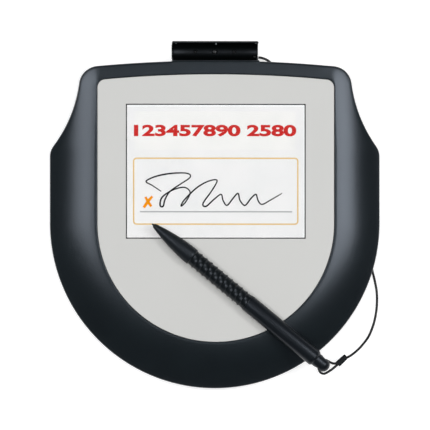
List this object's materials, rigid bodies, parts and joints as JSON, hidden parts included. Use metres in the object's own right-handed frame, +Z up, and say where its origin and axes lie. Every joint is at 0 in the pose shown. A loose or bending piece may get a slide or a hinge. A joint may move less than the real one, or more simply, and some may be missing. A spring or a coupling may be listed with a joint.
{
  "type": "signature pad",
  "caption": "Counter signature pad: round palm rest, crowned dark bezel round a pale panel with a writing display, rear pen trough and a tethered stylus.",
  "frame": {"origin": "centre of the base of the box round the pad, its pen trough and the stylus, at the level that its feet stand on", "axes": "+Z up out of the writing surface, +Y away from the writer towards the pen trough, +X to the writer's right"},
  "size_m": [0.1876, 0.1974, 0.0279],
  "materials": {
    "housing_plastic": "charcoal moulded plastic with a fine satin texture",
    "panel_plastic": "light warm grey, smooth matt",
    "window_glass": "clear hard glass, etched against glare",
    "display_white": "lit white display",
    "black_rubber": "matt black rubber",
    "black_plastic": "black, satin",
    "cord_black": "black covered cord, satin",
    "steel": "bright plated steel",
    "black_steel": "black coated steel",
    "circuit_green": "green solder resist",
    "chip_black": "moulded epoxy",
    "connector_cream": "cream moulded plastic",
    "ribbon_amber": "amber film",
    "light_guide_clear": "clear acrylic, milky from its dots",
    "ferrite_grey": "dark grey ferrite",
    "copper": "enamelled copper wire"
  },
  "bodies": {
    "root": {"top_housing": "housing_plastic", "base_housing": "housing_plastic", "front_panel": "panel_plastic", "writing_glass": "window_glass", "window_gasket": "black_rubber", "lcd_cell": "display_white", "light_guide": "light_guide_clear", "lcd_frame": "steel", "sensor_board": "circuit_green", "shield_plate": "steel", "main_board": "circuit_green", "processor_chip": "chip_black", "memory_chip": "chip_black", "sensor_chip": "chip_black", "crystal": "steel", "inductor": "ferrite_grey", "display_connector": "connector_cream", "sensor_connector": "connector_cream", "display_ribbon": "ribbon_amber", "sensor_ribbon": "ribbon_amber", "data_socket": "steel", "socket_tongue": "chip_black", "foot_front_left": "black_rubber", "foot_front_right": "black_rubber", "foot_rear_left": "black_rubber", "foot_rear_right": "black_rubber", "housing_screw_front_left": "steel", "housing_screw_front_right": "steel", "housing_screw_side_left": "steel", "housing_screw_side_right": "steel", "housing_screw_rear_left": "steel", "housing_screw_rear_right": "steel", "board_screw_1": "steel", "board_screw_2": "steel", "board_screw_3": "steel", "board_screw_4": "steel", "bracket_screw_left": "black_steel", "bracket_screw_right": "black_steel", "pen_holder": "black_plastic", "holder_bracket": "black_steel", "holder_screw": "steel", "tether_gland": "black_rubber", "tether": "cord_black"},
    "tether_end": {"tether_loop": "cord_black", "crimp_sleeve": "black_plastic"},
    "stylus": {"stylus_nose": "black_plastic", "stylus_grip": "black_rubber", "stylus_barrel": "black_plastic", "stylus_end_cap": "black_plastic", "ferrite_core": "ferrite_grey", "antenna_coil": "copper", "pressure_pad": "black_rubber", "stylus_board": "circuit_green"},
    "nib": {"nib": "black_plastic"}
  },
  "joints": [
    {"name": "tether_lift", "type": "slide", "parent": "root", "child": "tether_end", "axis": [0, 0, 1], "range_m": [0, 0.03]},
    {"name": "stylus_swing", "type": "hinge", "parent": "tether_end", "child": "stylus", "pos_m": [0.06034, -0.08458, 0.02295], "axis": [0.6334, 0.7738, 0], "range_deg": [0, 70]},
    {"name": "nib_press", "type": "slide", "parent": "stylus", "child": "nib", "axis": [0.7738, -0.6334, 0], "range_m": [0, 0.0004], "stiffness_N_per_m": 2000, "springref_m": -0.0005}
  ]
}
